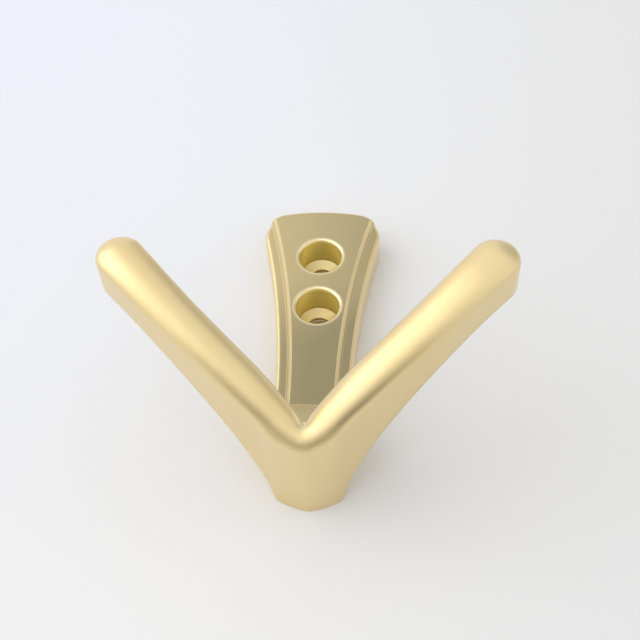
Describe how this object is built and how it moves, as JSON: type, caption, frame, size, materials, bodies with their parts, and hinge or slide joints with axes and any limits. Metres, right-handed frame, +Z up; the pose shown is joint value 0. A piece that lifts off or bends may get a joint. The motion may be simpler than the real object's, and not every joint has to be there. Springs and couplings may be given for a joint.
{
  "type": "wall hook",
  "caption": "Cast metal wall hook: a flared backplate with counterbored screw holes and a V of two arms that swing out and up from a round foot.",
  "frame": {"origin": "on the flat back face, halfway between the two screw holes", "axes": "+Y points into the wall, out of the back face, so the hook stands off the wall towards -Y; +Z up the wall; +X across it, to the right as seen from the front"},
  "size_m": [0.066, 0.0368, 0.061],
  "materials": {
    "satin_gold": "satin, fine blasted and lacquered pale gold"
  },
  "bodies": {
    "root": {"wall_hook": "satin_gold"}
  },
  "joints": []
}
